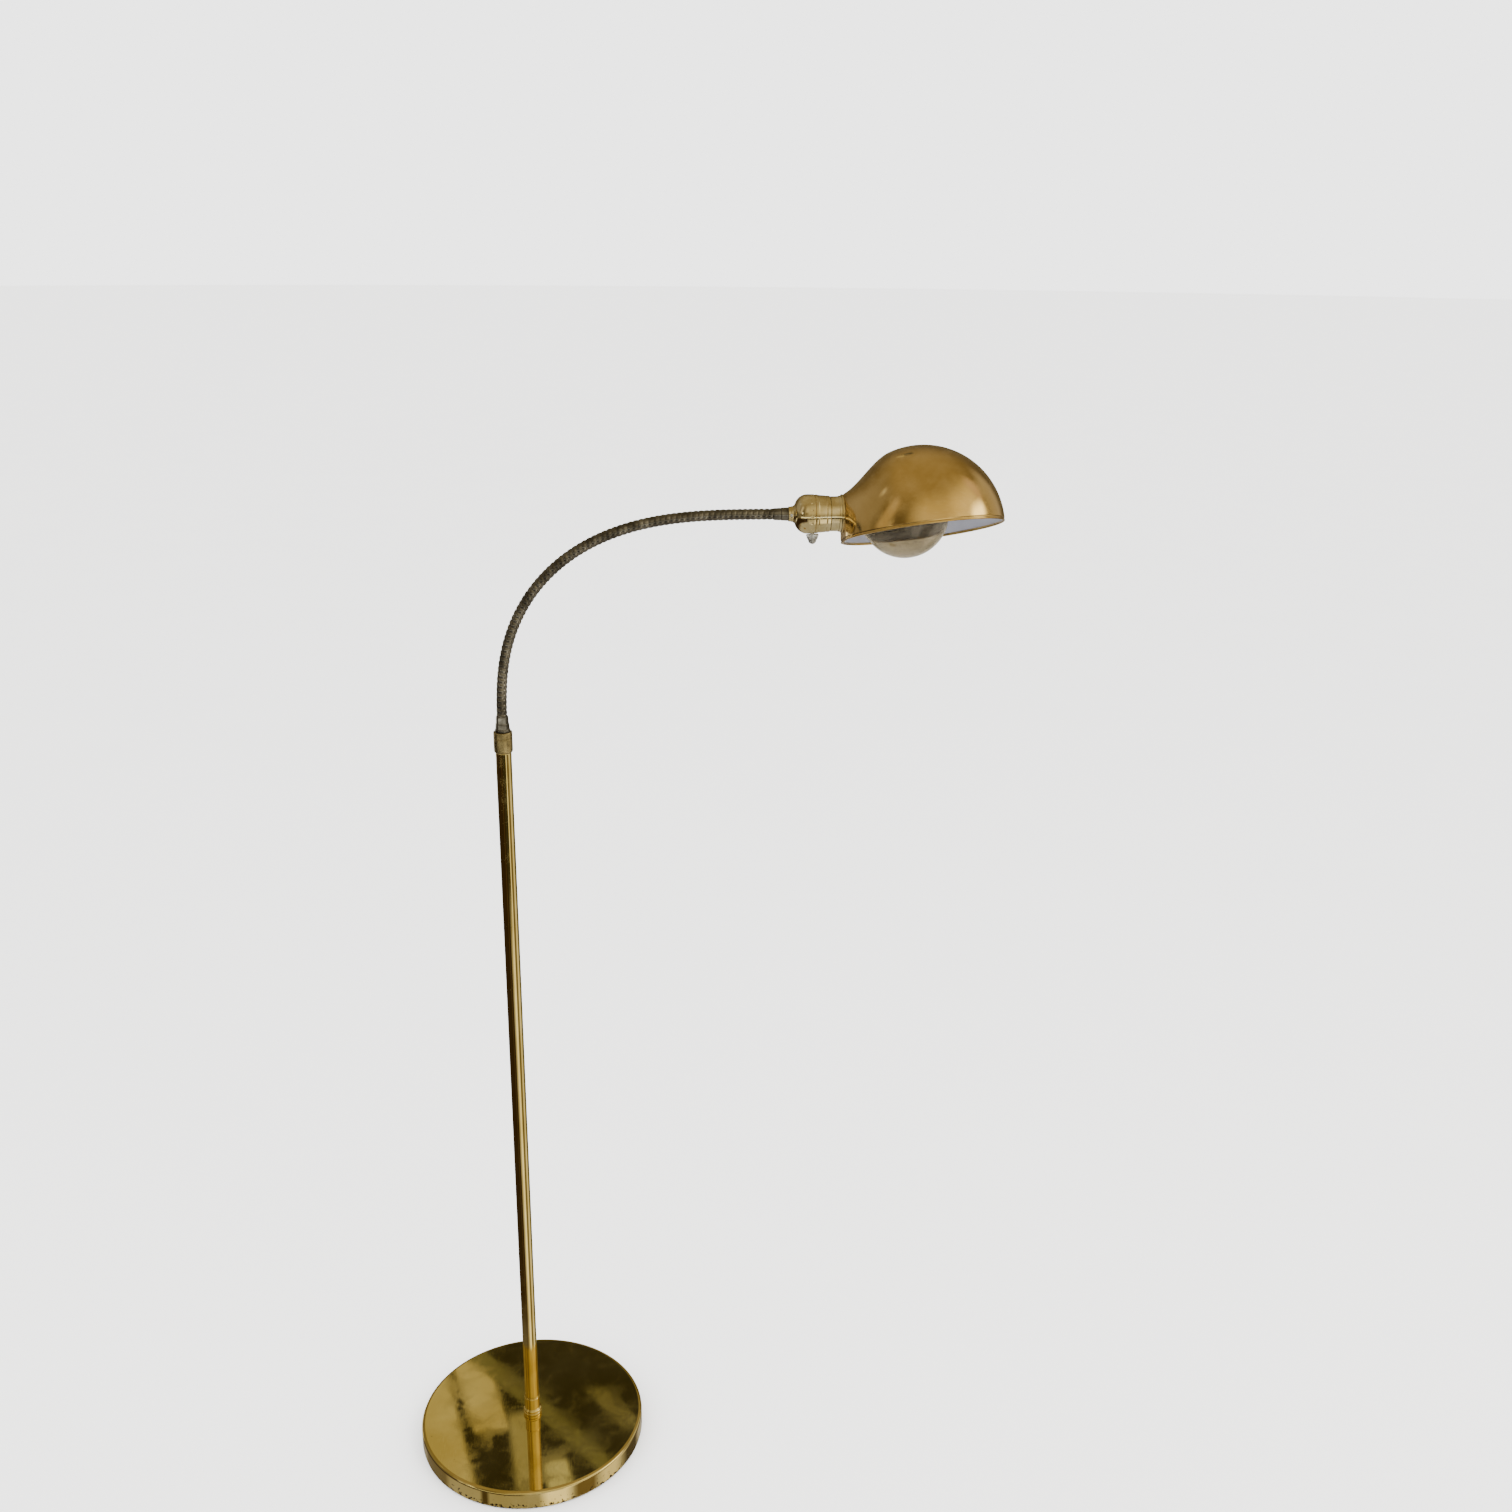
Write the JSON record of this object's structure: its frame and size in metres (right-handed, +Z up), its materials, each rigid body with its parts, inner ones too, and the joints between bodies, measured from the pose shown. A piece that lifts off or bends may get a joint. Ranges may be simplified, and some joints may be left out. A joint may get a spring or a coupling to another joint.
{
  "type": "gooseneck floor lamp",
  "caption": "Floor lamp with a round weighted base, a slim brass pole, a bendable gooseneck arm, a turn-key socket, a rotating half-dome shade and a globe bulb.",
  "frame": {"origin": "middle of the base's underside, on the floor", "axes": "+Z up along the pole; +X the way the arm reaches at rest; +Y towards the back, where the cord inlet is"},
  "size_m": [0.6229, 0.2556, 1.1378],
  "materials": {
    "felt": "wool felt pad, matt",
    "cast_iron": "raw casting, matt",
    "brass_polished": "mirror polished, lacquered, dark spots at the lower edge",
    "brass_pole": "polished, drawn lengthwise",
    "brass_aged": "tarnished, satin",
    "brass_socket": "pale, spun, satin",
    "brass_shade": "satin polished outside, white enamel inside",
    "brass_inner": "plain stamped",
    "enamel_white": "satin stoved enamel on the inside of the shade",
    "pewter_steel": "dark nickel plate, satin with bright ridges",
    "zinc_steel": "zinc plated",
    "nickel": "nickel plated, satin",
    "brown_plastic": "moulded",
    "fibre": "vulcanised fibre sleeve",
    "porcelain": "glazed porcelain",
    "smoked_glass": "clear glass with a light smoky amber tint",
    "stem_glass": "clear glass",
    "black_glass": "black glass insulator with a solder tip",
    "bulb_base_metal": "rolled thread, bright",
    "filament": "tungsten wire"
  },
  "bodies": {
    "stand": {"base_felt": "felt", "base_weight": "cast_iron", "base_cover": "brass_polished", "cord_bushing": "brown_plastic", "base_nipple": "zinc_steel", "base_washer": "zinc_steel", "base_nut": "zinc_steel", "pole_collar": "brass_polished", "pole_plug": "zinc_steel", "pole_tube": "brass_pole", "neck_coupling": "brass_aged"},
    "neck_foot": {"neck_ferrule_lower": "pewter_steel", "neck_link_00": "pewter_steel"},
    "neck_1": {"neck_link_01": "pewter_steel", "neck_link_02": "pewter_steel"},
    "neck_2": {"neck_link_03": "pewter_steel", "neck_link_04": "pewter_steel"},
    "neck_3": {"neck_link_05": "pewter_steel", "neck_link_06": "pewter_steel"},
    "neck_4": {"neck_link_07": "pewter_steel", "neck_link_08": "pewter_steel"},
    "neck_5": {"neck_link_09": "pewter_steel", "neck_link_10": "pewter_steel"},
    "head": {"neck_link_11": "pewter_steel", "neck_link_12": "pewter_steel", "neck_ferrule_upper": "pewter_steel", "socket_cap": "brass_socket", "cap_set_screw": "zinc_steel", "socket_shell": "brass_socket", "socket_liner": "fibre", "socket_body": "porcelain", "terminal_screws": "brass_inner", "screw_shell": "brass_inner", "centre_contact": "brass_inner", "shade_holder": "brass_socket", "shade_nut": "brass_inner"},
    "switch": {"switch_shaft": "zinc_steel", "switch_key": "nickel"},
    "shade_unit": {"shade_collar": "brass_shade", "shade": "brass_shade"},
    "bulb": {"bulb_glass": "smoked_glass", "bulb_cap": "bulb_base_metal", "bulb_contact": "black_glass", "bulb_stem": "stem_glass", "bulb_filament": "filament"}
  },
  "joints": [
    {"name": "neck_swing", "type": "hinge", "parent": "stand", "child": "neck_foot", "pos_m": [0, 0, 0.855], "axis": [0, 0, 1], "range_deg": [-110, 110]},
    {"name": "neck_bend_1", "type": "hinge", "parent": "neck_foot", "child": "neck_1", "pos_m": [0, 0, 0.88725], "axis": [0, 1, 0], "range_deg": [-25, 16]},
    {"name": "neck_bend_2", "type": "hinge", "parent": "neck_1", "child": "neck_2", "pos_m": [0.01008, 0, 0.95127], "axis": [0, 1, 0], "range_deg": [-25, 16]},
    {"name": "neck_bend_3", "type": "hinge", "parent": "neck_2", "child": "neck_3", "pos_m": [0.0424, 0, 1.00727], "axis": [0, 1, 0], "range_deg": [-25, 16]},
    {"name": "neck_bend_4", "type": "hinge", "parent": "neck_3", "child": "neck_4", "pos_m": [0.09416, 0, 1.04609], "axis": [0, 1, 0], "range_deg": [-25, 16]},
    {"name": "neck_bend_5", "type": "hinge", "parent": "neck_4", "child": "neck_5", "pos_m": [0.15602, 0, 1.06549], "axis": [0, 1, 0], "range_deg": [-25, 16]},
    {"name": "neck_bend_6", "type": "hinge", "parent": "neck_5", "child": "head", "pos_m": [0.22074, 0, 1.071], "axis": [0, 1, 0], "range_deg": [-25, 16]},
    {"name": "switch_turn", "type": "hinge", "parent": "head", "child": "switch", "pos_m": [0.30809, 0, 1.05129], "axis": [0, 0, -1], "continuous": true},
    {"name": "shade_turn", "type": "hinge", "parent": "head", "child": "shade_unit", "pos_m": [0.33749, 0, 1.07129], "axis": [1, 0, 0], "continuous": true},
    {"name": "bulb_out", "type": "slide", "parent": "head", "child": "bulb", "axis": [1, 0, 0], "range_m": [0, 0.024]}
  ]
}
